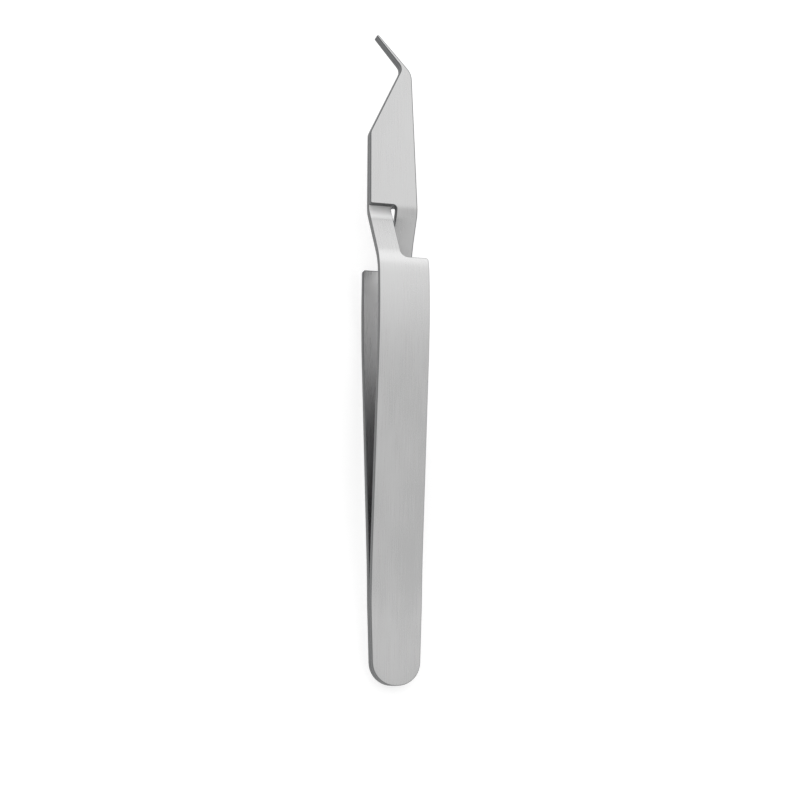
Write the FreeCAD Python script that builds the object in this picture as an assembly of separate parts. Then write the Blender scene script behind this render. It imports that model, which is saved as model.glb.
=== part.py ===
"""Cross-action bracket holder: two bent stainless steel strips welded together at the butt.

Each arm is first drawn along the tool (s, from the butt end to the tips), across it (w) and away
from the middle plane between the arms (v). The finished tool is then laid on its lower arm,
where it comes to rest on the butt and on the top of the handle's arch.
"""
import math
import os

import FreeCAD
import Part

# Sizes in mm, angles in degrees.
overall_length = 120.0
handle_width = 9.25
half_width = handle_width / 2
strip_thickness = 1.45

# Places along the tool: the head is all that lies beyond the shoulders.
head_length = 44.23
shoulder_at = overall_length - head_length
arch_start = shoulder_at - 11.4
taper_start = shoulder_at + 4.2
jaw_plane_bend = shoulder_at + 10.6
blade_heel_at = shoulder_at + 11.35
tip_bend_outer_at = overall_length - 6.95
tip_bend_inner_at = overall_length - 6.05

# Side view of an arm: outer face of the strip, as height above the middle plane.
weld_end = 17.5
weld_bend_radius = 110.0
arch_height = 7.07
arch_run_out = 0.5
neck_height = 6.49
neck_slope = 35.7
neck_bend_radius = 9.2
neck_thickness = 1.25
jaw_bend_radius = 2.3
jaw_plane_drop = 1.59
jaw_root_thickness = 1.4
jaw_tip_thickness = 0.98

# Plan view: butt, shoulder, neck and blade.
butt_half_width = 4.2
butt_taper_end = 14.0
butt_taper_blend = 60.0
shoulder_corner = 0.4
neck_root_fillet = 1.3
neck_gap = 0.7
blade_heel_corner = 0.35
heel_notch_fillet = 0.7
right_taper = 2.32
taper_blend = 25.0
blade_corner_round = 2.0
blade_slant = 25.1
tip_bend_inner_w = 1.485
tip_bend_inner_round = 1.5
tip_bend_outer_round = 3.4
tip_end_w = -3.31
tip_end_width = 0.58
full_round = 0.97

# The whole outline is rounded over by the same small radius, which the thin tips must have room for.
tip_end_corner = 0.31 * tip_end_width
edge_round = 0.26 * tip_end_width

# Hidden allowance around outlines that are cut out of a strip.
margin = 4.0

upper = 1
lower = -1


def direction(start, end):
    """Unit vector and length from one point to another."""
    dx = end[0] - start[0]
    dy = end[1] - start[1]
    length = math.hypot(dx, dy)
    return dx / length, dy / length, length


def arc_ends(before, corner, after):
    """Tangent points and middle of the arc that rounds a corner given as (x, y, radius)."""
    ux, uy, _ = direction(corner, before)
    vx, vy, _ = direction(corner, after)
    half_angle = math.acos(max(-1.0, min(1.0, ux * vx + uy * vy))) / 2
    radius = corner[2]
    reach = radius / math.tan(half_angle)
    to_middle = radius / math.sin(half_angle) - radius
    bx, by, _ = direction((0.0, 0.0), (ux + vx, uy + vy))
    start = (corner[0] + ux * reach, corner[1] + uy * reach)
    end = (corner[0] + vx * reach, corner[1] + vy * reach)
    middle = (corner[0] + bx * to_middle, corner[1] + by * to_middle)
    return start, middle, end


def rounded_outline(corners, place):
    """Closed face through corners (x, y, radius); place turns a flat point into a 3-D one."""
    count = len(corners)
    pieces = []
    for i, corner in enumerate(corners):
        before = corners[i - 1]
        after = corners[(i + 1) % count]
        if corner[2] > 0:
            pieces.append(arc_ends(before, corner, after))
        else:
            point = (corner[0], corner[1])
            pieces.append((point, None, point))
    edges = []
    for i, (start, middle, end) in enumerate(pieces):
        if middle is not None:
            edges.append(Part.Arc(place(start), place(middle), place(end)).toShape())
        next_start = pieces[(i + 1) % count][0]
        if place(end).distanceToPoint(place(next_start)) > 1e-6:
            edges.append(Part.makeLine(place(end), place(next_start)))
    return Part.Face(Part.Wire(edges))


def strip_outline(bends):
    """Closed side outline of a strip whose outer face runs through bends (s, v, thickness, radius)."""
    inner = []
    for i, (s, v, thickness, radius) in enumerate(bends):
        back = direction(bends[i - 1], bends[i]) if i > 0 else None
        ahead = direction(bends[i], bends[i + 1]) if i < len(bends) - 1 else None
        back = back or ahead
        ahead = ahead or back
        turn = math.atan2(back[0] * ahead[1] - back[1] * ahead[0], back[0] * ahead[0] + back[1] * ahead[1])
        heading = math.atan2(back[1], back[0]) + turn / 2
        reach = thickness / math.cos(turn / 2)
        inner_radius = radius + thickness * (1 if turn > 0 else -1) if radius > 0 else 0.0
        inner.append((s + reach * math.sin(heading), v - reach * math.cos(heading), inner_radius))
    outer = [(s, v, radius) for s, v, _, radius in bends]
    return outer + inner[::-1]


def neck_start(side):
    """Where the handle and the neck's slope would meet if the bend were sharp."""
    fall = neck_height + side * jaw_plane_drop
    return jaw_plane_bend - fall / math.tan(math.radians(neck_slope))


def arch_radius():
    """Radius that carries the handle's rise over its arch until just before the upper neck bends."""
    rise = math.atan2(arch_height - strip_thickness, arch_start - weld_end)
    fall = math.atan2(arch_height - neck_height, neck_start(upper) - arch_start)
    neck_reach = neck_bend_radius * math.tan((math.radians(neck_slope) - fall) / 2)
    room = neck_start(upper) - neck_reach - arch_run_out - arch_start
    return room / math.tan((rise + fall) / 2)


def side_bends(side):
    """Bends of one arm's outer face; the lower arm meets the dropped jaw plane sooner."""
    jaw_plane = -side * jaw_plane_drop
    tip_end = overall_length + margin
    run = (tip_end - jaw_plane_bend) / (overall_length - jaw_plane_bend)
    end_thickness = jaw_root_thickness + (jaw_tip_thickness - jaw_root_thickness) * run
    return [
        (-margin, strip_thickness, strip_thickness, 0.0),
        (weld_end, strip_thickness, strip_thickness, weld_bend_radius),
        (arch_start, arch_height, strip_thickness, arch_radius()),
        (neck_start(side), neck_height, neck_thickness, neck_bend_radius),
        (jaw_plane_bend, jaw_plane, jaw_root_thickness, jaw_bend_radius),
        (tip_end, jaw_plane, end_thickness, 0.0),
    ]


def right_edge_w(s):
    """Right edge of the tapered blade at s."""
    return half_width - (s - taper_start) * math.tan(math.radians(right_taper))


def tip_outline():
    """Corners (w, s, radius) from the blade's right edge round the tip to its left edge."""
    outer = (right_edge_w(tip_bend_outer_at), tip_bend_outer_at)
    inner = (tip_bend_inner_w, tip_bend_inner_at)
    left_corner_s = inner[1] - (inner[0] + half_width) / math.tan(math.radians(blade_slant))
    return [
        (*outer, tip_bend_outer_round),
        (tip_end_w + tip_end_width / 2, overall_length, tip_end_corner),
        (tip_end_w - tip_end_width / 2, overall_length, tip_end_corner),
        (*inner, tip_bend_inner_round),
        (-half_width, left_corner_s, blade_corner_round),
    ]


def plan_corners(side):
    """Plan corners (w, s, radius) of an arm, counterclockwise from the left edge near the butt."""
    butt_round = butt_half_width * full_round
    butt = [
        (-half_width, butt_taper_end, butt_taper_blend),
        (-butt_half_width, 0.0, butt_round),
        (butt_half_width, 0.0, butt_round),
        (half_width, butt_taper_end, butt_taper_blend),
    ]
    neck_edge = -side * neck_gap / 2
    shoulder = [(side * half_width, shoulder_at, shoulder_corner), (neck_edge, shoulder_at, neck_root_fillet)]
    if side == upper:
        heel = [
            (neck_edge, blade_heel_at, heel_notch_fillet),
            (right_edge_w(blade_heel_at), blade_heel_at, blade_heel_corner),
        ]
        return butt + shoulder + heel + tip_outline()
    heel = [
        (-half_width, blade_heel_at, blade_heel_corner),
        (neck_edge, blade_heel_at, heel_notch_fillet),
    ]
    taper = [(half_width, taper_start, taper_blend)]
    return butt + taper + tip_outline() + heel + shoulder[::-1]


def outline_edges(solid):
    """Edges where the strip's faces meet its cut sides."""
    found = []
    for edge in solid.Edges:
        faces = solid.ancestorsOfType(edge, Part.Face)
        middle = edge.valueAt((edge.FirstParameter + edge.LastParameter) / 2)
        normals = []
        for face in faces:
            u, v = face.Surface.parameter(middle)
            normals.append(face.normalAt(u, v))
        if len(normals) == 2 and abs(normals[0].dot(normals[1])) < 0.5:
            found.append(edge)
    return found


def make_arm(side):
    """One whole arm, standing along +Y with the middle plane between the arms at z = 0."""
    profile = rounded_outline(
        strip_outline(side_bends(side)),
        lambda p: FreeCAD.Vector(-half_width - margin, p[0], side * p[1]),
    )
    strip = profile.extrude(FreeCAD.Vector(handle_width + 2 * margin, 0, 0))
    depth = arch_height + margin
    plan = rounded_outline(plan_corners(side), lambda p: FreeCAD.Vector(p[0], p[1], -depth))
    arm = strip.common(plan.extrude(FreeCAD.Vector(0, 0, 2 * depth))).Solids[0]
    return arm.makeFillet(edge_round, outline_edges(arm))


def lie_angle():
    """Tilt of the tool lying on the lower arm, touching at the butt and on the arch."""
    bends = side_bends(lower)
    start, _, _ = arc_ends(bends[1][:2], (*bends[2][:2], bends[2][3]), bends[3][:2])
    rise_s, rise_v, _ = direction(bends[1], bends[2])
    radius = arch_radius()
    arch_centre = (start[0] + rise_v * radius, start[1] - rise_s * radius)
    butt_centre = (edge_round, strip_thickness - edge_round)
    reach_s = arch_centre[0] - butt_centre[0]
    reach_v = arch_centre[1] - butt_centre[1]
    lift = math.asin((radius - edge_round) / math.hypot(reach_s, reach_v))
    return math.atan2(reach_v, reach_s) + lift


def main():
    arms = {"upper_arm": make_arm(upper), "lower_arm": make_arm(lower)}
    for shape in arms.values():
        shape.rotate(FreeCAD.Vector(0, 0, 0), FreeCAD.Vector(1, 0, 0), math.degrees(lie_angle()))
    box = Part.makeCompound(list(arms.values())).optimalBoundingBox(False)
    for name, shape in arms.items():
        shape.translate(FreeCAD.Vector(-box.Center.x, -box.Center.y, -box.ZMin))
        shape.exportStep("parts/" + name + ".step")


os.makedirs("parts", exist_ok=True)
main()
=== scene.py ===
"""Dresses the cross-action bracket holder and sets it on a pale studio floor.

Each arm starts as a flat blank with rounded edges, is pressed onto its side form by a Geometry
Nodes tree, and is then laid down as the tool rests. Sizes are in millimetres until a mesh is made.
"""
import logging
import math
from dataclasses import dataclass, field
from enum import Enum
from typing import Any

import bmesh
import bpy
import numpy as np
from mathutils import Matrix, Vector
from mathutils.geometry import delaunay_2d_cdt


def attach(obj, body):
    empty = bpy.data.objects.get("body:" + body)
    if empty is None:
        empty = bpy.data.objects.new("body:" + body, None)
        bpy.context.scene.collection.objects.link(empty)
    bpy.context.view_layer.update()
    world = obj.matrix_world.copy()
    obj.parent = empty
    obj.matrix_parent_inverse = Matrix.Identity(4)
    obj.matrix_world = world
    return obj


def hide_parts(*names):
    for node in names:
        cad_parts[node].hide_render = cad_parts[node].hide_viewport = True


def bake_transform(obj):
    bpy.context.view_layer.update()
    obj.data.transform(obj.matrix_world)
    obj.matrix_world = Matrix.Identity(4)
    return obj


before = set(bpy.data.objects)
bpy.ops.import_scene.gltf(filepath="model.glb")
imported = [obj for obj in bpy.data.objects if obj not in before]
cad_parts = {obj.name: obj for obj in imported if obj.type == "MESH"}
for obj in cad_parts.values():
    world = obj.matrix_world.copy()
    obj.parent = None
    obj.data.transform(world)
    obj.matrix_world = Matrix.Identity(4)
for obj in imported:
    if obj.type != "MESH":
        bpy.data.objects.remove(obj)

MM = 0.001
log = logging.getLogger("bracket_holder")


class Side(Enum):
    """The two arms of the tool as it lies on a table."""

    UPPER = 1
    LOWER = -1

    @property
    def node(self) -> str:
        """Name of the arm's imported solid."""
        return f"{self.name.lower()}_arm"

    @property
    def body(self) -> str:
        """Name of the rigid body that the arm moves with."""
        return f"{self.name.lower()}_body"


def linear(code: str) -> tuple[float, float, float, float]:
    """Turns an sRGB hex colour into the linear colour that a shader takes.

    Args:
        code: Six hex digits after a hash sign.

    Returns:
        Red, green and blue in linear light, with an alpha of one.
    """
    values = [int(code[i : i + 2], 16) / 255 for i in (1, 3, 5)]
    steps = [v / 12.92 if v <= 0.04045 else ((v + 0.055) / 1.055) ** 2.4 for v in values]
    return steps[0], steps[1], steps[2], 1.0


def add_node(
    tree: bpy.types.NodeTree,
    kind: str,
    settings: dict[str, Any] | None = None,
    inputs: dict[Any, Any] | None = None,
) -> bpy.types.Node:
    """Adds one node with its settings, its constant inputs and its links.

    Args:
        tree: Node tree that the node goes into.
        kind: The node's type name.
        settings: Properties to set on the node.
        inputs: Input name or place to a constant, or to the output socket that feeds it.

    Returns:
        The new node.
    """
    node = tree.nodes.new(kind)
    for key, value in (settings or {}).items():
        setattr(node, key, value)
    for key, value in (inputs or {}).items():
        if isinstance(value, bpy.types.NodeSocket):
            tree.links.new(value, node.inputs[key])
        else:
            node.inputs[key].default_value = value
    return node


@dataclass(frozen=True)
class SatinStainless:
    """Hardened stainless steel strip, bead blasted and then brushed fine along its length.

    The blast gives a soft, even sheen with no mirror image, and the brushing draws highlights
    out a little along the strip. The blanked edges are only tumbled, so they are rougher than the
    faces, and their colour is darkened as painted shade. The inner faces carry painted shade near
    the weld, where the gap between the arms lies in shade, and painted light towards the shoulders.
    The press tool rubs the hollow of the bend before the jaws matte, and its colour is lightened as
    a painted highlight.
    """

    name: str = "satin_stainless_steel"
    face_light: str = "#C9C9C9"
    face_dark: str = "#C3C3C3"
    face_roughness: tuple[float, float] = (0.25, 0.33)
    # The edges' colour is darker than the faces' as painted shade; their roughness below is their
    # own.
    edge: str = "#68696A"
    edge_roughness: float = 0.46
    # The pressed hollow's colour is lighter than the face's as a painted highlight; its roughness
    # below is its own.
    pressed: str = "#F2F2F2"
    pressed_roughness: float = 0.9
    # The inner face's colour turns from painted shade near the weld to painted light towards the
    # shoulders between these places, measured from the butt.
    inner_dull: str = "#959596"
    inner_bright: str = "#E4E4E4"
    dull_until_mm: float = 47.0
    bright_from_mm: float = 76.0
    # A real brush line is near 0.03 mm wide, too fine to show, so it is drawn 0.16 mm wide.
    brush_line_mm: float = 0.16
    brush_length_mm: float = 9.0
    brush_depth_mm: float = 0.004
    # Blast dimples are near 0.05 mm across and are drawn at 0.22 mm.
    dimple_mm: float = 0.22
    dimple_depth_mm: float = 0.003
    # Hand brushing leaves faint clouds about this wide, and twice as long.
    cloud_mm: float = 7.0
    cloud_length_mm: float = 14.0
    brush_detail: float = 3.0
    soft_detail: float = 2.0
    finer_share: float = 0.55
    bump_strength: float = 0.35
    # The brush and cloud noises are added for the colour and multiplied for the roughness. These
    # are the values between which the sum and the product mostly lie.
    sum_range: tuple[float, float] = (0.7, 1.3)
    product_range: tuple[float, float] = (0.12, 0.42)

    def build(self) -> bpy.types.Material:
        """Makes the steel.

        Returns:
            A material that reads the arm's flat UV map, in millimetres, and the masks of its cut
            edges, its inner face and the hollow of its bend, where it paints light and shade.
        """
        material = bpy.data.materials.new(self.name)
        material.use_nodes = True
        tree = material.node_tree
        tree.nodes.clear()
        flat = add_node(tree, "ShaderNodeUVMap", {"uv_map": FlatBlank.uv_name}).outputs["UV"]
        masks = {
            name: add_node(tree, "ShaderNodeAttribute", {"attribute_name": name}).outputs["Fac"]
            for name in (FlatBlank.edge_name, FlatBlank.inner_name, FlatBlank.bend_name)
        }
        line_mm = (self.brush_line_mm, self.brush_length_mm)
        brush = self._noise(tree, flat, line_mm, self.brush_detail)
        dimples = self._noise(tree, flat, (self.dimple_mm, self.dimple_mm), self.soft_detail)
        clouds = self._noise(tree, flat, (self.cloud_mm, self.cloud_length_mm), self.soft_detail)
        shader = add_node(
            tree,
            "ShaderNodeBsdfPrincipled",
            inputs={
                "Base Color": self._colour(tree, flat, brush, clouds, masks),
                "Metallic": 1.0,
                "Roughness": self._roughness(tree, brush, clouds, masks),
                "Normal": self._bumps(tree, brush, dimples),
            },
        )
        add_node(tree, "ShaderNodeOutputMaterial", inputs={"Surface": shader.outputs["BSDF"]})
        return material

    def _noise(
        self,
        tree: bpy.types.NodeTree,
        flat: bpy.types.NodeSocket,
        grain_mm: tuple[float, float],
        detail: float,
    ) -> bpy.types.NodeSocket:
        """Adds noise with grains of a given size.

        Args:
            tree: The material's node tree.
            flat: Flat coordinates in millimetres.
            grain_mm: A grain's size across and along the strip.
            detail: Number of finer layers.

        Returns:
            The noise's value.
        """
        scale = (1 / grain_mm[0], 1 / grain_mm[1], 1.0)
        placed = add_node(tree, "ShaderNodeMapping", inputs={"Vector": flat, "Scale": scale})
        return add_node(
            tree,
            "ShaderNodeTexNoise",
            {"noise_dimensions": "2D"},
            {
                "Vector": placed.outputs["Vector"],
                "Scale": 1.0,
                "Detail": detail,
                "Roughness": self.finer_share,
            },
        ).outputs["Fac"]

    def _colour(
        self,
        tree: bpy.types.NodeTree,
        flat: bpy.types.NodeSocket,
        brush: bpy.types.NodeSocket,
        clouds: bpy.types.NodeSocket,
        masks: dict[str, bpy.types.NodeSocket],
    ) -> bpy.types.NodeSocket:
        """Lays painted light and shade on the inner face, the pressed hollow and the cut edges over
        the face's greys.

        Args:
            tree: The material's node tree.
            flat: Flat coordinates in millimetres.
            brush: Brush line noise.
            clouds: Broad, slow noise.
            masks: The masks by name.

        Returns:
            The colour.
        """
        both = add_node(tree, "ShaderNodeMath", {"operation": "ADD"}, {0: brush, 1: clouds})
        along = add_node(tree, "ShaderNodeSeparateXYZ", inputs={0: flat}).outputs["Y"]
        greys: list[bpy.types.NodeSocket] = []
        for value, (start, end), low, high in (
            (both.outputs[0], self.sum_range, self.face_dark, self.face_light),
            (along, (self.dull_until_mm, self.bright_from_mm), self.inner_dull, self.inner_bright),
        ):
            share = add_node(
                tree,
                "ShaderNodeMapRange",
                inputs={"Value": value, "From Min": start, "From Max": end},
            ).outputs[0]
            grey = add_node(
                tree,
                "ShaderNodeMix",
                {"data_type": "RGBA"},
                {0: share, 6: linear(low), 7: linear(high)},
            ).outputs[2]
            greys.append(grey)
        colour, inner = greys
        # Painted light and shade: the inner face's gradient, the hollow's highlight and the edges'
        # shade.
        for name, grey in (
            (FlatBlank.inner_name, inner),
            (FlatBlank.bend_name, linear(self.pressed)),
            (FlatBlank.edge_name, linear(self.edge)),
        ):
            colour = add_node(
                tree, "ShaderNodeMix", {"data_type": "RGBA"}, {0: masks[name], 6: colour, 7: grey}
            ).outputs[2]
        return colour

    def _roughness(
        self,
        tree: bpy.types.NodeTree,
        brush: bpy.types.NodeSocket,
        clouds: bpy.types.NodeSocket,
        masks: dict[str, bpy.types.NodeSocket],
    ) -> bpy.types.NodeSocket:
        """Varies the sheen a little over the faces, and dulls the pressed hollow and the edges.

        Args:
            tree: The material's node tree.
            brush: Brush line noise.
            clouds: Broad, slow noise.
            masks: The masks by name.

        Returns:
            The roughness.
        """
        both = add_node(tree, "ShaderNodeMath", {"operation": "MULTIPLY"}, {0: brush, 1: clouds})
        roughness = add_node(
            tree,
            "ShaderNodeMapRange",
            inputs={
                "Value": both.outputs[0],
                "From Min": self.product_range[0],
                "From Max": self.product_range[1],
                "To Min": self.face_roughness[0],
                "To Max": self.face_roughness[1],
            },
        ).outputs[0]
        for name, level in (
            (FlatBlank.bend_name, self.pressed_roughness),
            (FlatBlank.edge_name, self.edge_roughness),
        ):
            roughness = add_node(
                tree,
                "ShaderNodeMix",
                {"data_type": "FLOAT"},
                {0: masks[name], 2: roughness, 3: level},
            ).outputs[0]
        return roughness

    def _bumps(
        self, tree: bpy.types.NodeTree, brush: bpy.types.NodeSocket, dimples: bpy.types.NodeSocket
    ) -> bpy.types.NodeSocket:
        """Raises the brush lines over the blast dimples.

        Args:
            tree: The material's node tree.
            brush: Brush line noise.
            dimples: Blast dimple noise.

        Returns:
            The bumped normal.
        """
        blasted = add_node(
            tree,
            "ShaderNodeBump",
            inputs={
                "Strength": self.bump_strength,
                "Distance": self.dimple_depth_mm * MM,
                "Height": dimples,
            },
        )
        return add_node(
            tree,
            "ShaderNodeBump",
            inputs={
                "Strength": self.bump_strength,
                "Distance": self.brush_depth_mm * MM,
                "Height": brush,
                "Normal": blasted.outputs["Normal"],
            },
        ).outputs["Normal"]


@dataclass(frozen=True)
class MattePaper:
    """Seamless white background paper, which takes a soft shadow and gives no sheen."""

    name: str = "white_background_paper"
    colour: str = "#C0C0C0"
    shade: str = "#BCBCBC"
    # A fibre is near 0.03 mm wide, too fine to show, so clumps of fibres are drawn 2 mm wide.
    fibre_mm: float = 2.0
    # With the light that falls on the paper, this brings the ground up to white.
    ground_light: float = 0.62

    def build(self) -> bpy.types.Material:
        """Makes the paper.

        Returns:
            A matte material that shows as white ground to the camera and in the steel.
        """
        material = bpy.data.materials.new(self.name)
        material.use_nodes = True
        tree = material.node_tree
        tree.nodes.clear()
        place = add_node(tree, "ShaderNodeTexCoord").outputs["Object"]
        fibre = add_node(
            tree, "ShaderNodeTexNoise", inputs={"Vector": place, "Scale": 1 / (self.fibre_mm * MM)}
        )
        colour = add_node(
            tree,
            "ShaderNodeMix",
            {"data_type": "RGBA"},
            {0: fibre.outputs["Fac"], 6: linear(self.shade), 7: linear(self.colour)},
        )
        paper = add_node(tree, "ShaderNodeBsdfDiffuse", inputs={"Color": colour.outputs[2]})
        rays = add_node(tree, "ShaderNodeLightPath").outputs
        seen = rays["Is Camera Ray"]
        for ray in ("Is Glossy Ray", "Is Transmission Ray"):
            seen = add_node(
                tree, "ShaderNodeMath", {"operation": "MAXIMUM"}, {0: seen, 1: rays[ray]}
            ).outputs[0]
        strength = add_node(
            tree, "ShaderNodeMath", {"operation": "MULTIPLY"}, {0: seen, 1: self.ground_light}
        ).outputs[0]
        ground = add_node(tree, "ShaderNodeEmission", inputs={"Strength": strength})
        both = add_node(
            tree, "ShaderNodeAddShader", inputs={0: paper.outputs[0], 1: ground.outputs[0]}
        )
        add_node(tree, "ShaderNodeOutputMaterial", inputs={"Surface": both.outputs[0]})
        return material


@dataclass
class RoundedPath:
    """Straight runs joined by tangent arcs, given by their corners as (x, y, radius)."""

    corners: list[tuple[float, float, float]]
    closed: bool = True
    degrees_per_step: float = 9.0

    def arc(self, i: int) -> tuple[np.ndarray, float, float, float, float]:
        """Works out the arc that rounds a corner.

        Args:
            i: The corner's place in the list.

        Returns:
            Arc centre, radius, the angles at which it starts and ends, and its turn's sign.
        """
        count = len(self.corners)
        before, here, after = (np.array(self.corners[(i + k) % count][:2]) for k in (-1, 0, 1))
        radius = self.corners[i][2]
        u = (before - here) / np.linalg.norm(before - here)
        v = (after - here) / np.linalg.norm(after - here)
        half = math.acos(float(np.clip(u @ v, -1, 1))) / 2
        middle = (u + v) / np.linalg.norm(u + v)
        centre = here + middle * radius / math.sin(half)
        turn = math.copysign(1.0, float(u[1] * v[0] - u[0] * v[1]))
        start = here + u * radius / math.tan(half) - centre
        end = here + v * radius / math.tan(half) - centre
        first = math.atan2(start[1], start[0])
        sweep = (math.atan2(end[1], end[0]) - first) * turn % (2 * math.pi)
        return centre, radius, first, first + turn * sweep, turn

    def points(self) -> tuple[np.ndarray, np.ndarray]:
        """Samples the arcs.

        Returns:
            Points along the path, and the unit normal on its right hand at each.
        """
        places: list[np.ndarray] = []
        normals: list[np.ndarray] = []
        for i, corner in enumerate(self.corners):
            if not self.closed and i in (0, len(self.corners) - 1):
                places.append(np.array(corner[:2]))
                normals.append(np.zeros(2))
                continue
            centre, radius, first, last, turn = self.arc(i)
            steps = max(2, math.ceil(math.degrees(abs(last - first)) / self.degrees_per_step))
            for angle in np.linspace(first, last, steps + 1):
                away = np.array([math.cos(angle), math.sin(angle)])
                places.append(centre + away * radius)
                normals.append(away * turn)
        return np.array(places), np.array(normals)


@dataclass
class ToolSizes:
    """Sizes of the whole tool in millimetres and degrees, with places along it from the butt."""

    overall_length: float = 120.0
    handle_width: float = 9.25
    strip_thickness: float = 1.45
    head_length: float = 44.23
    weld_end: float = 17.5
    weld_bend_radius: float = 110.0
    arch_height: float = 7.07
    arch_run_out: float = 0.5
    arch_before_shoulder: float = 11.4
    neck_height: float = 6.49
    neck_slope: float = 35.7
    neck_bend_radius: float = 9.2
    neck_thickness: float = 1.25
    jaw_bend_radius: float = 2.3
    jaw_bend_past_shoulder: float = 10.6
    jaw_plane_drop: float = 1.59
    jaw_root_thickness: float = 1.4
    jaw_tip_thickness: float = 0.98
    edge_round: float = 0.1508

    @property
    def half_width(self) -> float:
        """Half the handle's width."""
        return self.handle_width / 2

    @property
    def shoulder_at(self) -> float:
        """Where the handle ends and the neck begins."""
        return self.overall_length - self.head_length

    @property
    def arch_start(self) -> float:
        """Where the handle's rise would turn over if the arch were sharp."""
        return self.shoulder_at - self.arch_before_shoulder

    @property
    def jaw_plane_bend(self) -> float:
        """Where the neck's slope would meet the jaw plane if the bend were sharp."""
        return self.shoulder_at + self.jaw_bend_past_shoulder

    def neck_start(self, side: Side) -> float:
        """Where the handle and the neck's slope would meet if the bend were sharp.

        Args:
            side: Which arm.

        Returns:
            The place along the tool.
        """
        fall = self.neck_height + side.value * self.jaw_plane_drop
        return self.jaw_plane_bend - fall / math.tan(math.radians(self.neck_slope))

    @property
    def arch_radius(self) -> float:
        """Radius that carries the handle's rise over its arch, almost to the upper neck's bend.

        Returns:
            The radius of the outer face.
        """
        neck_at = self.neck_start(Side.UPPER)
        rise = math.atan2(self.arch_height - self.strip_thickness, self.arch_start - self.weld_end)
        fall = math.atan2(self.arch_height - self.neck_height, neck_at - self.arch_start)
        neck_reach = self.neck_bend_radius * math.tan((math.radians(self.neck_slope) - fall) / 2)
        room = neck_at - neck_reach - self.arch_run_out - self.arch_start
        return room / math.tan((rise + fall) / 2)


@dataclass
class SideForm:
    """Side view of one arm: the heights of its two faces at even stations along the tool."""

    sizes: ToolSizes
    side: Side
    first: float = -1.0
    step: float = 0.1
    spare: float = 4.0
    degrees_per_step: float = 0.1

    heights_name = "face_heights"
    stretch_name = "face_stretch"

    def bends(self) -> list[tuple[float, float, float, float]]:
        """Bends of the outer face.

        Returns:
            Place, height, strip thickness and bend radius at each bend.
        """
        z = self.sizes
        jaw_plane = -self.side.value * z.jaw_plane_drop
        end = z.overall_length + self.spare
        run = (end - z.jaw_plane_bend) / (z.overall_length - z.jaw_plane_bend)
        end_thickness = z.jaw_root_thickness + (z.jaw_tip_thickness - z.jaw_root_thickness) * run
        return [
            (-self.spare, z.strip_thickness, z.strip_thickness, 0.0),
            (z.weld_end, z.strip_thickness, z.strip_thickness, z.weld_bend_radius),
            (z.arch_start, z.arch_height, z.strip_thickness, z.arch_radius),
            (z.neck_start(self.side), z.neck_height, z.neck_thickness, z.neck_bend_radius),
            (z.jaw_plane_bend, jaw_plane, z.jaw_root_thickness, z.jaw_bend_radius),
            (end, jaw_plane, end_thickness, 0.0),
        ]

    def faces(self) -> tuple[RoundedPath, RoundedPath]:
        """Side lines of the outer and inner face.

        Returns:
            The outer and the inner path.
        """
        bends = self.bends()
        inner: list[tuple[float, float, float]] = []
        headings = [
            math.atan2(b[1] - a[1], b[0] - a[0]) for a, b in zip(bends[:-1], bends[1:], strict=True)
        ]
        for i, (s, v, thickness, radius) in enumerate(bends):
            back = headings[max(i - 1, 0)]
            ahead = headings[min(i, len(headings) - 1)]
            turn = ahead - back
            middle = back + turn / 2
            reach = thickness / math.cos(turn / 2)
            inner_radius = radius + math.copysign(thickness, turn) if radius else 0.0
            inner.append((s + reach * math.sin(middle), v - reach * math.cos(middle), inner_radius))
        outer = [(s, v, radius) for s, v, _, radius in bends]
        return (
            RoundedPath(outer, False, self.degrees_per_step),
            RoundedPath(inner, False, self.degrees_per_step),
        )

    def stations(self) -> np.ndarray:
        """Even places along the tool, from as far before its butt as past its tips."""
        return np.arange(self.first, self.sizes.overall_length - self.first, self.step)

    def build(self) -> bpy.types.Object:
        """Makes the form that the blank is pressed onto.

        Returns:
            An object of loose points that carry the outer and inner face's height and stretch.
        """
        places = self.stations()
        mesh = bpy.data.meshes.new(f"{self.side.node}_side_form")
        mesh.from_pydata([(0.0, s * MM, 0.0) for s in places], [], [])
        heights = np.zeros((len(places), 3))
        stretch = np.ones((len(places), 3))
        for i, path in enumerate(self.faces()):
            line, _ = path.points()
            heights[:, i] = np.interp(places, line[:, 0], line[:, 1])
            stretch[:, i] = np.hypot(1.0, np.gradient(heights[:, i], places))
        for name, values in ((self.heights_name, heights * MM), (self.stretch_name, stretch)):
            layer = mesh.attributes.new(name, "FLOAT_VECTOR", "POINT")
            layer.data.foreach_set("vector", values.astype(np.float32).ravel())
        form = bpy.data.objects.new(mesh.name, mesh)
        bpy.context.scene.collection.objects.link(form)
        return form


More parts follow.
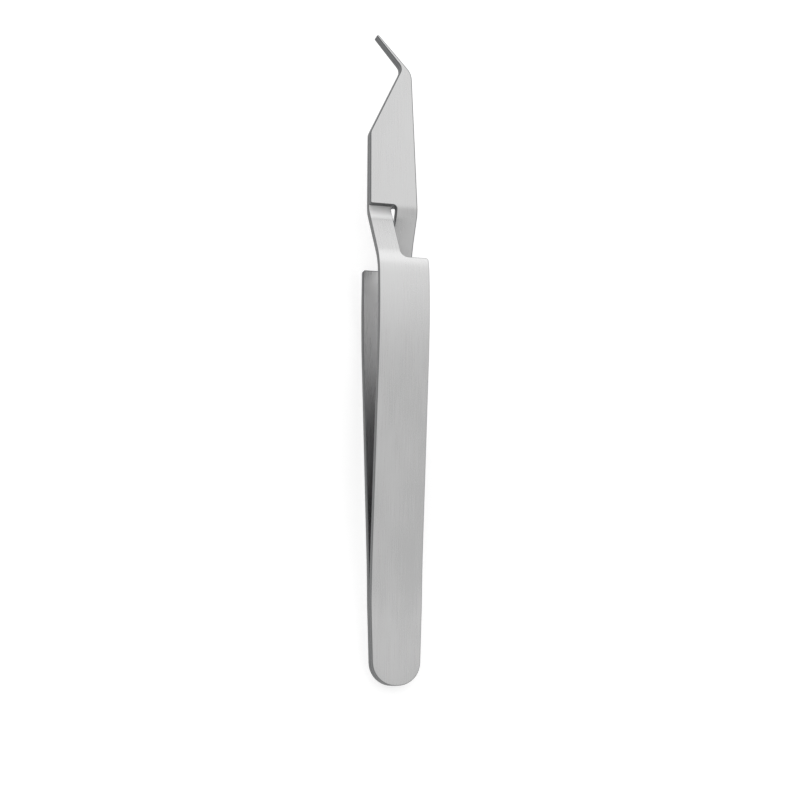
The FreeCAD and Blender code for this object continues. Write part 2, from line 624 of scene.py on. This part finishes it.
@dataclass
class PlanForm:
    """Plan outline of one arm: rounded butt, shoulder, neck, blade and angled tip."""

    sizes: ToolSizes
    side: Side
    butt_half_width: float = 4.2
    butt_taper_end: float = 14.0
    butt_taper_blend: float = 60.0
    shoulder_corner: float = 0.4
    neck_root_fillet: float = 1.3
    neck_gap: float = 0.7
    blade_heel_past_shoulder: float = 11.35
    blade_heel_corner: float = 0.35
    heel_notch_fillet: float = 0.7
    taper_past_shoulder: float = 4.2
    right_taper: float = 2.32
    taper_blend: float = 25.0
    blade_corner_round: float = 2.0
    blade_slant: float = 25.1
    tip_bend_outer_from_end: float = 6.95
    tip_bend_outer_round: float = 3.4
    tip_bend_inner_from_end: float = 6.05
    tip_bend_inner_w: float = 1.485
    tip_bend_inner_round: float = 1.5
    tip_end_w: float = -3.31
    tip_end_width: float = 0.58
    tip_end_corner: float = 0.1798
    full_round: float = 0.97

    def right_edge(self, s: float) -> float:
        """Right edge of the tapered blade.

        Args:
            s: Place along the tool.

        Returns:
            The edge's place across the tool.
        """
        start = self.sizes.shoulder_at + self.taper_past_shoulder
        return self.sizes.half_width - (s - start) * math.tan(math.radians(self.right_taper))

    def tip(self) -> list[tuple[float, float, float]]:
        """Places the blade's slant and its angled tip.

        Returns:
            Corners (across, along, radius) from the blade's right edge round the tip to its left.
        """
        length = self.sizes.overall_length
        half_width = self.sizes.half_width
        outer_at = length - self.tip_bend_outer_from_end
        outer = np.array([self.right_edge(outer_at), outer_at])
        inner = np.array([self.tip_bend_inner_w, length - self.tip_bend_inner_from_end])
        left_corner = inner[1] - (inner[0] + half_width) / math.tan(math.radians(self.blade_slant))
        return [
            (*outer, self.tip_bend_outer_round),
            (self.tip_end_w + self.tip_end_width / 2, length, self.tip_end_corner),
            (self.tip_end_w - self.tip_end_width / 2, length, self.tip_end_corner),
            (*inner, self.tip_bend_inner_round),
            (-half_width, left_corner, self.blade_corner_round),
        ]

    def path(self) -> RoundedPath:
        """Draws the whole outline.

        Returns:
            The closed path, counterclockwise from the left edge near the butt.
        """
        z = self.sizes
        half = z.half_width
        heel_at = z.shoulder_at + self.blade_heel_past_shoulder
        neck_edge = -self.side.value * self.neck_gap / 2
        butt_round = self.butt_half_width * self.full_round
        butt = [
            (-half, self.butt_taper_end, self.butt_taper_blend),
            (-self.butt_half_width, 0.0, butt_round),
            (self.butt_half_width, 0.0, butt_round),
            (half, self.butt_taper_end, self.butt_taper_blend),
        ]
        shoulder = [
            (self.side.value * half, z.shoulder_at, self.shoulder_corner),
            (neck_edge, z.shoulder_at, self.neck_root_fillet),
        ]
        if self.side is Side.UPPER:
            heel = [
                (neck_edge, heel_at, self.heel_notch_fillet),
                (self.right_edge(heel_at), heel_at, self.blade_heel_corner),
            ]
            return RoundedPath(butt + shoulder + heel + self.tip())
        heel = [
            (-half, heel_at, self.blade_heel_corner),
            (neck_edge, heel_at, self.heel_notch_fillet),
        ]
        taper = [(half, z.shoulder_at + self.taper_past_shoulder, self.taper_blend)]
        return RoundedPath(butt + taper + self.tip() + heel + shoulder[::-1])


@dataclass
class FlatBlank:
    """Flat strip cut to the plan outline, with both rims rounded over, before it is pressed."""

    plan: PlanForm
    row_gap: float = 0.4
    column_gap: float = 1.15
    # Points nearer to the rim than this share of a row's gap are left out.
    clear_share: float = 0.6
    merge_within: float = 1e-7
    round_steps: int = 4
    # Rings this far on either side of a rounded rim keep the faces and the wall flat beside it.
    rim_support: float = 0.02
    # The inner face's mask fades out over this length before the shoulder, because past it the
    # inner face of one blade is the outside of the tool.
    inner_fade: float = 2.5
    # The pressed hollow, which gets a painted highlight and a higher roughness, reaches this far
    # before and past the jaws' bend, and then fades out.
    bend_reach: tuple[float, float] = (1.7, 0.7)
    bend_fade: float = 0.6

    uv_name = "flat_mm"
    # The edge mask paints shade on the cut edges and raises their roughness.
    edge_name = "cut_edge"
    # The inner face's mask carries painted shade near the weld and painted light near the
    # shoulders.
    inner_name = "inner_face"
    # The hollow's mask paints a highlight in the bend and raises its roughness.
    bend_name = "bend_hollow"

    def ring_plan(self) -> list[tuple[float, float, float, float]]:
        """Rings of points from the middle of the outer face's rim down to the inner face's.

        Returns:
            Inset from the outline, height, distance from the rim over the surface and edge mask,
            which paints shade on the rims and adds roughness.
        """
        thick = self.plan.sizes.strip_thickness
        r = self.plan.sizes.edge_round
        half = [(r + self.rim_support, 0.0, -self.rim_support, 0.0)]
        for i in range(self.round_steps + 1):
            angle = math.pi / 2 * i / self.round_steps
            inset = r * (1 - math.sin(angle))
            depth = r * (1 - math.cos(angle))
            half.append((inset, depth, r * angle, min(1.0, 2 * i / self.round_steps)))
        wall = r * math.pi / 2 - r
        half.append((0.0, r + self.rim_support, wall + r + self.rim_support, 1.0))
        middle = (0.0, thick / 2, wall + thick / 2, 1.0)
        outer = [(inset, thick - depth, run, mask) for inset, depth, run, mask in half]
        # The edge mask ramps in over the outer rims and covers the inner ones whole, darkening them
        # as painted shade that hides their highlights, and raising their roughness.
        inner = [half[0], *((inset, depth, run, 1.0) for inset, depth, run, _ in half[1:])]
        return outer + [middle] + inner[::-1]

    def outline(self) -> tuple[np.ndarray, np.ndarray]:
        """Samples the outline closely enough to bend.

        Returns:
            Points and outward normals, with the straight runs divided.
        """
        corners, normals = self.plan.path().points()
        places: list[np.ndarray] = []
        outward: list[np.ndarray] = []
        for i, place in enumerate(corners):
            ahead = corners[(i + 1) % len(corners)]
            parts = max(1, math.ceil(np.linalg.norm(ahead - place) / self.row_gap))
            for k in range(parts):
                places.append(place + (ahead - place) * k / parts)
                outward.append(normals[i])
        return np.array(places), np.array(outward)

    def face_points(self, rim: np.ndarray) -> np.ndarray:
        """Rows of points inside the face, which let it bend smoothly.

        Args:
            rim: Innermost ring of the face's rim.

        Returns:
            The points that lie clear of the rim.
        """
        half = self.plan.sizes.half_width
        across = np.linspace(-half, half, round(2 * half / self.column_gap) + 1)
        along = np.arange(self.row_gap, self.plan.sizes.overall_length, self.row_gap)
        grid = np.array([(w, s) for s in along for w in across])
        a, b = rim, np.roll(rim, -1, axis=0)
        inside = np.zeros(len(grid), bool)
        clear = np.full(len(grid), np.inf)
        for (x0, y0), (x1, y1) in zip(a, b, strict=True):
            if y0 != y1:
                spans = (grid[:, 1] > min(y0, y1)) & (grid[:, 1] <= max(y0, y1))
                crossing = x0 + (grid[:, 1] - y0) * (x1 - x0) / (y1 - y0)
                inside ^= spans & (grid[:, 0] < crossing)
            clear = np.minimum(clear, np.hypot(grid[:, 0] - x0, grid[:, 1] - y0))
        return grid[inside & (clear > self.row_gap * self.clear_share)]

    def fill(self, rim: np.ndarray) -> tuple[np.ndarray, list[tuple[int, ...]]]:
        """Fills a face with triangles.

        Args:
            rim: Innermost ring of the face's rim, counterclockwise.

        Returns:
            The points inside the rim, and triangles that count the rim's points first.
        """
        points = np.vstack([rim, self.face_points(rim)])
        loop = [(i, (i + 1) % len(rim)) for i in range(len(rim))]
        inside_only = 1
        flat_points = [Vector(p) for p in points]
        made = delaunay_2d_cdt(flat_points, loop, [], inside_only, self.merge_within)
        _, _, faces, given_points, _, _ = made
        first = [ids[0] for ids in given_points]
        triangles = [tuple(first[i] for i in face) for face in faces]
        return points[len(rim) :], triangles

    def masks(self, places: np.ndarray) -> tuple[np.ndarray, np.ndarray]:
        """Marks the inner face as far as the shoulder, and the hollow of the bend before the jaws,
        where the steel paints light and shade.

        Args:
            places: The blank's points in millimetres.

        Returns:
            The inner face's mask and the hollow's mask at each point.
        """
        sizes = self.plan.sizes
        along, height = places[:, 1], places[:, 2]
        fade = (sizes.shoulder_at - self.inner_fade, sizes.shoulder_at)
        inner = np.interp(along, fade, (1.0, 0.0)) * (height < sizes.strip_thickness / 2)
        first, last = -self.bend_reach[0], self.bend_reach[1]
        steps = (first - self.bend_fade, first, last, last + self.bend_fade)
        hollow = np.interp(along - sizes.jaw_plane_bend, steps, (0.0, 1.0, 1.0, 0.0))
        return inner, hollow * (height > sizes.strip_thickness / 2)

    def build(self) -> bpy.types.Object:
        """Makes the blank as a closed mesh with its flat UV map and its masks.

        Returns:
            The blank, in metres.
        """
        points, outward = self.outline()
        count = len(points)
        rings = self.ring_plan()
        places: list[tuple[float, float, float]] = []
        flat: list[tuple[float, float]] = []
        edge: list[float] = []
        r = self.plan.sizes.edge_round
        for inset, height, run, ring_mask in rings:
            for p, n in zip(points, outward, strict=True):
                w, s = p - n * inset
                places.append((w * MM, s * MM, height * MM))
                flat.append(tuple(p + n * (run - r)))
                edge.append(ring_mask)
        faces: list[tuple[int, ...]] = []
        for here in range(0, (len(rings) - 1) * count, count):
            below = here + count
            for i in range(count):
                j = (i + 1) % count
                faces.append((here + i, below + i, below + j, here + j))
        face_points, triangles = self.fill(points - outward * rings[0][0])
        last_ring = (len(rings) - 1) * count
        for height, start, order in ((rings[0][1], 0, 1), (rings[-1][1], last_ring, -1)):
            base = len(places)
            places.extend((w * MM, s * MM, height * MM) for w, s in face_points)
            flat.extend((w, s) for w, s in face_points)
            edge.extend(0.0 for _ in face_points)
            ids = [*range(start, start + count), *range(base, base + len(face_points))]
            faces.extend(tuple(ids[i] for i in face[::order]) for face in triangles)
        mesh = bpy.data.meshes.new(f"{self.plan.side.node}_blank")
        mesh.from_pydata(places, [], faces)
        inner, hollow = self.masks(np.array(places) / MM)
        for name, values in (
            (self.edge_name, np.array(edge)),
            (self.inner_name, inner),
            (self.bend_name, hollow),
        ):
            layer = mesh.attributes.new(name, "FLOAT", "POINT")
            layer.data.foreach_set("value", values.astype(np.float32))
        corner_points = np.zeros(len(mesh.loops), np.int32)
        mesh.loops.foreach_get("vertex_index", corner_points)
        uv = mesh.uv_layers.new(name=self.uv_name)
        uv.data.foreach_set("uv", np.array(flat, np.float32)[corner_points].ravel())
        mesh.validate()
        blank = bpy.data.objects.new(mesh.name, mesh)
        bpy.context.scene.collection.objects.link(blank)
        return blank


@dataclass
class StripPress:
    """Geometry Nodes tree that presses a flat blank onto a side form and lays it on the table."""

    # Just under a half, so that the ring half way down the wall goes with the outer face.
    middle_share: float = 0.499
    sockets: dict[str, str] = field(
        default_factory=lambda: {
            "Blank": "NodeSocketGeometry",
            "Side form": "NodeSocketObject",
            "First station": "NodeSocketFloat",
            "Station spacing": "NodeSocketFloat",
            "Strip thickness": "NodeSocketFloat",
            "Turned over": "NodeSocketFloat",
            "Lie angle": "NodeSocketFloat",
            "Rest place": "NodeSocketVector",
            "Steel": "NodeSocketMaterial",
        }
    )

    def tree(self) -> bpy.types.NodeTree:
        """Builds the tree.

        Returns:
            A node group whose inputs are named for the tool's sizes.
        """
        tree = bpy.data.node_groups.new("strip_press", "GeometryNodeTree")
        for name, kind in self.sockets.items():
            tree.interface.new_socket(name=name, in_out="INPUT", socket_type=kind)
        tree.interface.new_socket(name="Arm", in_out="OUTPUT", socket_type="NodeSocketGeometry")
        given = add_node(tree, "NodeGroupInput").outputs
        place = add_node(tree, "GeometryNodeInputPosition").outputs[0]
        flat = add_node(tree, "ShaderNodeSeparateXYZ", inputs={0: place}).outputs
        form = add_node(tree, "GeometryNodeObjectInfo", inputs={"Object": given["Side form"]})
        heights, stretch = (
            self._read(tree, form.outputs["Geometry"], given, flat["Y"], name)
            for name in (SideForm.heights_name, SideForm.stretch_name)
        )
        # The outer half of the blank follows the outer face, and the inner half the inner one.
        below = add_node(
            tree,
            "ShaderNodeMath",
            {"operation": "SUBTRACT"},
            {0: flat["Z"], 1: given["Strip thickness"]},
        ).outputs[0]
        # A depth measured square to a sloping face is longer when it is set upright.
        upright = {"operation": "MULTIPLY_ADD"}
        outer = add_node(
            tree, "ShaderNodeMath", upright, {0: below, 1: stretch["X"], 2: heights["X"]}
        ).outputs[0]
        inner = add_node(
            tree, "ShaderNodeMath", upright, {0: flat["Z"], 1: stretch["Y"], 2: heights["Y"]}
        ).outputs[0]
        middle = add_node(
            tree,
            "ShaderNodeMath",
            {"operation": "MULTIPLY"},
            {0: given["Strip thickness"], 1: self.middle_share},
        ).outputs[0]
        is_outer = add_node(
            tree, "ShaderNodeMath", {"operation": "GREATER_THAN"}, {0: flat["Z"], 1: middle}
        ).outputs[0]
        height = add_node(
            tree, "ShaderNodeMix", {"data_type": "FLOAT"}, {0: is_outer, 2: inner, 3: outer}
        ).outputs[0]
        turned = add_node(
            tree, "ShaderNodeMath", {"operation": "MULTIPLY"}, {0: height, 1: given["Turned over"]}
        ).outputs[0]
        pressed = add_node(
            tree, "ShaderNodeCombineXYZ", inputs={0: flat["X"], 1: flat["Y"], 2: turned}
        ).outputs[0]
        lying = add_node(
            tree,
            "ShaderNodeVectorRotate",
            {"rotation_type": "X_AXIS"},
            {"Vector": pressed, "Angle": given["Lie angle"]},
        ).outputs[0]
        resting = add_node(
            tree, "ShaderNodeVectorMath", {"operation": "ADD"}, {0: lying, 1: given["Rest place"]}
        ).outputs[0]
        arm = add_node(
            tree,
            "GeometryNodeSetPosition",
            inputs={"Geometry": given["Blank"], "Position": resting},
        ).outputs[0]
        for kind in ("GeometryNodeSetShadeSmooth", "GeometryNodeRealizeInstances"):
            arm = add_node(tree, kind, inputs={"Geometry": arm}).outputs[0]
        finished = add_node(
            tree, "GeometryNodeSetMaterial", inputs={"Geometry": arm, "Material": given["Steel"]}
        ).outputs[0]
        add_node(tree, "NodeGroupOutput", inputs={0: finished})
        return tree

    @staticmethod
    def _read(
        tree: bpy.types.NodeTree,
        form: bpy.types.NodeSocket,
        given: Any,
        along: bpy.types.NodeSocket,
        name: str,
    ) -> Any:
        """Reads a value of the side form at each point's place along the tool.

        Args:
            tree: The press tree.
            form: The side form's geometry.
            given: Outputs of the group's input node.
            along: Place along the tool.
            name: The form's attribute.

        Returns:
            The outputs that hold the outer (X) and inner (Y) face's value.
        """
        values = add_node(
            tree, "GeometryNodeInputNamedAttribute", {"data_type": "FLOAT_VECTOR"}, {"Name": name}
        ).outputs["Attribute"]
        past = add_node(
            tree, "ShaderNodeMath", {"operation": "SUBTRACT"}, {0: along, 1: given["First station"]}
        ).outputs[0]
        station = add_node(
            tree, "ShaderNodeMath", {"operation": "DIVIDE"}, {0: past, 1: given["Station spacing"]}
        ).outputs[0]
        before = add_node(tree, "ShaderNodeMath", {"operation": "FLOOR"}, {0: station}).outputs[0]
        after = add_node(
            tree, "ShaderNodeMath", {"operation": "ADD"}, {0: before, 1: 1.0}
        ).outputs[0]
        share = add_node(
            tree, "ShaderNodeMath", {"operation": "SUBTRACT"}, {0: station, 1: before}
        ).outputs[0]
        ends = [
            add_node(
                tree,
                "GeometryNodeSampleIndex",
                {"data_type": "FLOAT_VECTOR", "domain": "POINT", "clamp": True},
                {"Geometry": form, "Value": values, "Index": place},
            ).outputs["Value"]
            for place in (before, after)
        ]
        between = add_node(
            tree, "ShaderNodeMix", {"data_type": "VECTOR"}, {0: share, 4: ends[0], 5: ends[1]}
        ).outputs[1]
        return add_node(tree, "ShaderNodeSeparateXYZ", inputs={0: between}).outputs


@dataclass
class Arm:
    """One arm of the tool: handle, shoulder, neck, blade and tip in one strip of steel."""

    side: Side
    sizes: ToolSizes
    lie_angle: float = 4.834609
    rest_place: tuple[float, float, float] = (0.0, -59.83378, 1.43267)
    flex_start: float = 17.5
    flex_end: float = 42.0

    def build(self, press: bpy.types.NodeTree, steel: bpy.types.Material) -> bpy.types.Object:
        """Cuts the blank, presses it and keeps the result as a plain mesh.

        Args:
            press: The press tree.
            steel: The arm's finish.

        Returns:
            The arm, at the origin, with its place in its mesh.
        """
        blank = FlatBlank(PlanForm(self.sizes, self.side)).build()
        form_maker = SideForm(self.sizes, self.side)
        form = form_maker.build()
        modifier = blank.modifiers.new("press", "NODES")
        modifier.node_group = press
        values = {
            "Side form": form,
            "First station": form_maker.first * MM,
            "Station spacing": form_maker.step * MM,
            "Strip thickness": self.sizes.strip_thickness * MM,
            "Turned over": float(self.side.value),
            "Lie angle": math.radians(self.lie_angle),
            "Rest place": tuple(v * MM for v in self.rest_place),
            "Steel": steel,
        }
        for item in press.interface.items_tree:
            if item.in_out == "INPUT" and item.name in values:
                modifier[item.identifier] = values[item.name]
        graph = bpy.context.evaluated_depsgraph_get()
        mesh = bpy.data.meshes.new_from_object(blank.evaluated_get(graph), depsgraph=graph)
        mesh.name = f"{self.side.node}_strip"
        self._turn_outwards(mesh)
        arm = bpy.data.objects.new(mesh.name, mesh)
        bpy.context.scene.collection.objects.link(arm)
        for scrap in (blank, form):
            bpy.data.objects.remove(scrap)
        return arm

    @staticmethod
    def _turn_outwards(mesh: bpy.types.Mesh) -> None:
        """Turns every face outwards, because the lower arm is pressed upside down.

        Args:
            mesh: A closed mesh.
        """
        shell = bmesh.new()
        shell.from_mesh(mesh)
        bmesh.ops.recalc_face_normals(shell, faces=shell.faces)
        shell.to_mesh(mesh)
        shell.free()

    def dress(
        self, arm: bpy.types.Object, cad_node: bpy.types.Object, steel: bpy.types.Material
    ) -> None:
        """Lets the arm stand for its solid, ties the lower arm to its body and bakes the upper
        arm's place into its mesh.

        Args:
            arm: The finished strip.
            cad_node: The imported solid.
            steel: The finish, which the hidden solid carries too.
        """
        cad_node.data.materials.clear()
        cad_node.data.materials.append(steel)
        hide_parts(self.side.node)
        if self.side is Side.LOWER:
            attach(arm, self.side.body)
            return
        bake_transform(arm)


@dataclass
class PhotoCamera:
    """Camera above and to the left of the tool, looking down on it.

    Its place is in millimetres, and its clip distances are in metres.
    """

    place: tuple[float, float, float] = (-76.280, -86.528, 283.590)
    right: tuple[float, float, float] = (0.964734, -0.020850, 0.262401)
    up: tuple[float, float, float] = (-0.048439, 0.965773, 0.254827)
    lens_mm: float = 74.683
    clip: tuple[float, float] = (0.01, 20.0)

    def build(self) -> bpy.types.Object:
        """Makes the camera and gives it to the scene.

        Returns:
            The camera.
        """
        data = bpy.data.cameras.new("studio_camera")
        data.lens = self.lens_mm
        data.clip_start, data.clip_end = self.clip
        camera = bpy.data.objects.new("studio_camera", data)
        right, up = Vector(self.right), Vector(self.up)
        turned = Matrix((right, up, right.cross(up))).transposed()
        camera.matrix_world = Matrix.Translation(Vector(self.place) * MM) @ turned.to_4x4()
        bpy.context.scene.collection.objects.link(camera)
        bpy.context.scene.camera = camera
        return camera


@dataclass
class Softbox:
    """One square area lamp aimed at the middle of the tool, in degrees, metres and watts."""

    name: str
    azimuth: float
    elevation: float
    distance: float
    size: float
    power: float

    def build(self) -> bpy.types.Object:
        """Makes the lamp.

        Returns:
            The lamp, which points at the origin.
        """
        data = bpy.data.lights.new(self.name, "AREA")
        data.shape = "SQUARE"
        data.size = self.size
        data.energy = self.power
        lamp = bpy.data.objects.new(self.name, data)
        a, e = math.radians(self.azimuth), math.radians(self.elevation)
        away = Vector((math.sin(a) * math.cos(e), -math.cos(a) * math.cos(e), math.sin(e)))
        lamp.location = away * self.distance
        lamp.rotation_euler = away.to_track_quat("Z", "Y").to_euler()
        bpy.context.scene.collection.objects.link(lamp)
        return lamp


@dataclass
class Studio:
    """White floor with its size in metres, soft surroundings and large soft lamps.

    The surroundings are brighter beyond the tips than behind the butt, and a little dimmer near
    the horizon than overhead. Both changes follow the direction in which the surroundings lie,
    as a unit vector's Y and Z.
    """

    floor_size: float = 8.0
    # Strength behind the butt and beyond the tips, and where it starts and ends to change.
    surround: tuple[float, float] = (0.78, 1.18)
    brightens: tuple[float, float] = (-0.12, 0.28)
    # Share of that strength left at the horizon, and the height from which all of it is there.
    horizon: float = 0.82
    clear_above: float = 0.45
    lamps: list[Softbox] = field(
        default_factory=lambda: [
            Softbox("far_softbox", 168.0, 27.0, 0.9, 0.6, 0.4),
            Softbox("near_softbox", 40.0, 18.0, 1.1, 0.6, 0.45),
        ]
    )

    def build(self) -> None:
        """Makes the floor, the surroundings and the lamps."""
        half = self.floor_size / 2
        mesh = bpy.data.meshes.new("studio_floor")
        corners = [(-half, -half, 0.0), (half, -half, 0.0), (half, half, 0.0), (-half, half, 0.0)]
        mesh.from_pydata(corners, [], [(0, 1, 2, 3)])
        mesh.materials.append(MattePaper().build())
        floor = bpy.data.objects.new("studio_floor", mesh)
        bpy.context.scene.collection.objects.link(floor)
        self._surroundings()
        bpy.context.scene.view_settings.view_transform = "Standard"
        for lamp in self.lamps:
            lamp.build()

    def _surroundings(self) -> None:
        """Lights the tool from all around, with a soft change from the butt's side to the tips'."""
        world = bpy.data.worlds.new("studio_surroundings")
        world.use_nodes = True
        tree = world.node_tree
        tree.nodes.clear()
        way = add_node(tree, "ShaderNodeTexCoord").outputs["Generated"]
        way = add_node(tree, "ShaderNodeSeparateXYZ", inputs={0: way}).outputs
        level = add_node(
            tree,
            "ShaderNodeMapRange",
            {"interpolation_type": "SMOOTHSTEP"},
            {
                "Value": way["Y"],
                "From Min": self.brightens[0],
                "From Max": self.brightens[1],
                "To Min": self.surround[0],
                "To Max": self.surround[1],
            },
        ).outputs[0]
        dimmed = add_node(
            tree,
            "ShaderNodeMapRange",
            {"interpolation_type": "SMOOTHSTEP"},
            {
                "Value": way["Z"],
                "From Max": self.clear_above,
                "To Min": self.horizon,
                "To Max": 1.0,
            },
        ).outputs[0]
        strength = add_node(
            tree, "ShaderNodeMath", {"operation": "MULTIPLY"}, {0: level, 1: dimmed}
        ).outputs[0]
        light = add_node(
            tree,
            "ShaderNodeBackground",
            inputs={"Color": linear("#FFFFFF"), "Strength": strength},
        )
        add_node(tree, "ShaderNodeOutputWorld", inputs={"Surface": light.outputs[0]})
        bpy.context.scene.world = world


@dataclass
class BracketHolder:
    """The whole tool: two arms of one finish, welded together at the butt."""

    sizes: ToolSizes = field(default_factory=ToolSizes)

    def build(self) -> list[bpy.types.Object]:
        """Builds and dresses both arms.

        Returns:
            The arms.
        """
        steel = SatinStainless().build()
        press = StripPress().tree()
        arms: list[bpy.types.Object] = []
        for side in Side:
            maker = Arm(side, self.sizes)
            arm = maker.build(press, steel)
            maker.dress(arm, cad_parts[side.node], steel)
            mesh = arm.data
            log.info("%s: %d points, %d faces", arm.name, len(mesh.vertices), len(mesh.polygons))
            arms.append(arm)
        return arms


def main() -> None:
    """Builds the tool, the camera and the studio."""
    logging.basicConfig(level=logging.INFO, format="%(name)s %(message)s")
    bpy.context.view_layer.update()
    BracketHolder().build()
    PhotoCamera().build()
    Studio().build()
    bpy.context.view_layer.update()


if __name__ == "__main__":
    main()
